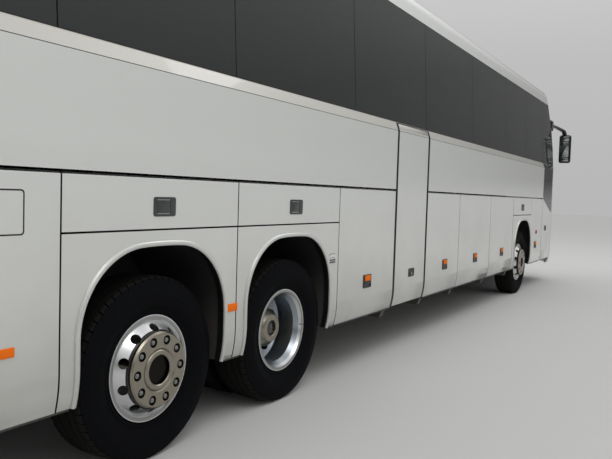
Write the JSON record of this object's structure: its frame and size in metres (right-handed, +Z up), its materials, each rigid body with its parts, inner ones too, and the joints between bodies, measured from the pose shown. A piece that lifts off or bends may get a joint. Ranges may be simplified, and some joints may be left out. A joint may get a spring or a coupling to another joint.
{
  "type": "three-axle touring coach bus",
  "caption": "Tall three-axle touring coach with a full band of dark glass, luggage flaps, two plug doors, hanging mirrors and disc wheels.",
  "frame": {"origin": "on the ground under the middle of the whole vehicle, mirrors included", "axes": "+X forward, +Y to the coach's left, +Z up"},
  "size_m": [14.16, 2.93, 3.84],
  "materials": {
    "body_paint": "gloss pearl silver",
    "black_trim": "satin black",
    "tinted_glass": "dark tinted",
    "clear_glass": "clear",
    "lamp_lens": "clear lens",
    "red_lens": "red lens",
    "chassis_paint": "satin black",
    "floor": "grey sheet",
    "seat_fabric": "woven",
    "inner_trim": "light grey",
    "tyre_rubber": "black rubber",
    "wheel_metal": "polished",
    "engine_metal": "cast"
  },
  "bodies": {
    "coach_body": {"underframe": "chassis_paint", "wheel_boxes": "chassis_paint", "cabin_floor": "floor", "side_wall_right": "body_paint", "side_wall_left": "body_paint", "skirt_panels_right": "body_paint", "skirt_panels_left": "body_paint", "roof": "body_paint", "roof_pod": "body_paint", "front_panel": "body_paint", "windscreen_frame": "black_trim", "rear_panel": "body_paint", "windscreen": "clear_glass", "side_glass": "tinted_glass", "rear_glass": "tinted_glass", "passenger_seats": "seat_fabric", "driver_seat": "seat_fabric", "dashboard": "inner_trim", "parcel_racks": "inner_trim", "headlamps": "lamp_lens", "tail_lamps": "red_lens", "mirrors": "black_trim", "wipers": "black_trim", "engine": "engine_metal", "front_axle": "chassis_paint", "drive_axle": "chassis_paint", "tag_axle": "chassis_paint"},
    "steering_wheel": {"steering_wheel": "black_trim"},
    "front_door_arms": {"front_door_arms": "chassis_paint"},
    "front_door": {"front_door": "body_paint", "front_door_glass": "tinted_glass"},
    "mid_door_arms": {"mid_door_arms": "chassis_paint"},
    "mid_door": {"mid_door": "body_paint"},
    "engine_door": {"engine_door": "body_paint"},
    "knuckle_left": {"knuckle_left": "chassis_paint"},
    "front_wheel_left": {"front_tyre_left": "tyre_rubber", "front_rim_left": "wheel_metal"},
    "tag_wheel_left": {"tag_tyre_left": "tyre_rubber", "tag_rim_left": "wheel_metal"},
    "drive_wheel_left": {"drive_tyres_left": "tyre_rubber", "drive_rims_left": "wheel_metal"},
    "flap_left_1": {"flap_left_1": "body_paint"},
    "flap_left_2": {"flap_left_2": "body_paint"},
    "flap_left_3": {"flap_left_3": "body_paint"},
    "flap_left_4": {"flap_left_4": "body_paint"},
    "knuckle_right": {"knuckle_right": "chassis_paint"},
    "front_wheel_right": {"front_tyre_right": "tyre_rubber", "front_rim_right": "wheel_metal"},
    "tag_wheel_right": {"tag_tyre_right": "tyre_rubber", "tag_rim_right": "wheel_metal"},
    "drive_wheel_right": {"drive_tyres_right": "tyre_rubber", "drive_rims_right": "wheel_metal"},
    "flap_right_1": {"flap_right_1": "body_paint"},
    "flap_right_2": {"flap_right_2": "body_paint"},
    "flap_right_3": {"flap_right_3": "body_paint"},
    "flap_right_4": {"flap_right_4": "body_paint"}
  },
  "joints": [
    {"name": "steer_left", "type": "hinge", "parent": "coach_body", "child": "knuckle_left", "pos_m": [4.11, 0.93, 0.517], "axis": [0, 0, 1], "range_deg": [-40, 40]},
    {"name": "front_wheel_left_spin", "type": "hinge", "parent": "knuckle_left", "child": "front_wheel_left", "pos_m": [4.11, 1.083, 0.517], "axis": [0, 1, 0], "continuous": true},
    {"name": "drive_wheel_left_spin", "type": "hinge", "parent": "coach_body", "child": "drive_wheel_left", "pos_m": [-3.02, 1.083, 0.517], "axis": [0, 1, 0], "continuous": true},
    {"name": "tag_wheel_left_spin", "type": "hinge", "parent": "coach_body", "child": "tag_wheel_left", "pos_m": [-4.37, 1.083, 0.517], "axis": [0, 1, 0], "continuous": true},
    {"name": "steer_right", "type": "hinge", "parent": "coach_body", "child": "knuckle_right", "pos_m": [4.11, -0.93, 0.517], "axis": [0, 0, 1], "range_deg": [-40, 40]},
    {"name": "front_wheel_right_spin", "type": "hinge", "parent": "knuckle_right", "child": "front_wheel_right", "pos_m": [4.11, -1.083, 0.517], "axis": [0, 1, 0], "continuous": true},
    {"name": "drive_wheel_right_spin", "type": "hinge", "parent": "coach_body", "child": "drive_wheel_right", "pos_m": [-3.02, -1.083, 0.517], "axis": [0, 1, 0], "continuous": true},
    {"name": "tag_wheel_right_spin", "type": "hinge", "parent": "coach_body", "child": "tag_wheel_right", "pos_m": [-4.37, -1.083, 0.517], "axis": [0, 1, 0], "continuous": true},
    {"name": "steering_wheel_turn", "type": "hinge", "parent": "coach_body", "child": "steering_wheel", "pos_m": [5.91, 0.64, 1.62007], "axis": [-0.5299, 0, 0.848], "range_deg": [-720, 720]},
    {"name": "front_door_arm_swing", "type": "hinge", "parent": "coach_body", "child": "front_door_arms", "pos_m": [6.308, -1.15, 1.2], "axis": [0, 0, 1], "range_deg": [0, 125]},
    {"name": "front_door_hold_parallel", "type": "hinge", "parent": "front_door_arms", "child": "front_door", "pos_m": [5.945, -1.15, 1.2], "axis": [0, 0, 1], "range_deg": [-125, 0]},
    {"name": "mid_door_arm_swing", "type": "hinge", "parent": "coach_body", "child": "mid_door_arms", "pos_m": [-0.397, -1.15, 1.2], "axis": [0, 0, 1], "range_deg": [0, 140]},
    {"name": "mid_door_hold_parallel", "type": "hinge", "parent": "mid_door_arms", "child": "mid_door", "pos_m": [-0.765, -1.15, 1.2], "axis": [0, 0, 1], "range_deg": [-140, 0]},
    {"name": "flap_right_1_lift", "type": "hinge", "parent": "coach_body", "child": "flap_right_1", "pos_m": [-1.76, -1.275, 1.587], "axis": [1, 0, 0], "range_deg": [-85, 0]},
    {"name": "flap_right_2_lift", "type": "hinge", "parent": "coach_body", "child": "flap_right_2", "pos_m": [0.2125, -1.275, 1.587], "axis": [1, 0, 0], "range_deg": [-85, 0]},
    {"name": "flap_right_3_lift", "type": "hinge", "parent": "coach_body", "child": "flap_right_3", "pos_m": [1.44, -1.275, 1.587], "axis": [1, 0, 0], "range_deg": [-85, 0]},
    {"name": "flap_right_4_lift", "type": "hinge", "parent": "coach_body", "child": "flap_right_4", "pos_m": [2.7575, -1.275, 1.587], "axis": [1, 0, 0], "range_deg": [-85, 0]},
    {"name": "flap_left_1_lift", "type": "hinge", "parent": "coach_body", "child": "flap_left_1", "pos_m": [-1.61, 1.275, 1.587], "axis": [-1, 0, 0], "range_deg": [-85, 0]},
    {"name": "flap_left_2_lift", "type": "hinge", "parent": "coach_body", "child": "flap_left_2", "pos_m": [-0.18, 1.275, 1.587], "axis": [-1, 0, 0], "range_deg": [-85, 0]},
    {"name": "flap_left_3_lift", "type": "hinge", "parent": "coach_body", "child": "flap_left_3", "pos_m": [1.25, 1.275, 1.587], "axis": [-1, 0, 0], "range_deg": [-85, 0]},
    {"name": "flap_left_4_lift", "type": "hinge", "parent": "coach_body", "child": "flap_left_4", "pos_m": [2.68, 1.275, 1.587], "axis": [-1, 0, 0], "range_deg": [-85, 0]},
    {"name": "engine_door_lift", "type": "hinge", "parent": "coach_body", "child": "engine_door", "pos_m": [-7.0615, 0, 1.644], "axis": [0, 1, 0], "range_deg": [0, 80]}
  ],
  "couplings": [
    {"joint": "steer_right", "follows": "steer_left", "ratio": 1},
    {"joint": "steering_wheel_turn", "follows": "steer_left", "ratio": 18},
    {"joint": "front_door_hold_parallel", "follows": "front_door_arm_swing", "ratio": -1},
    {"joint": "mid_door_hold_parallel", "follows": "mid_door_arm_swing", "ratio": -1}
  ]
}
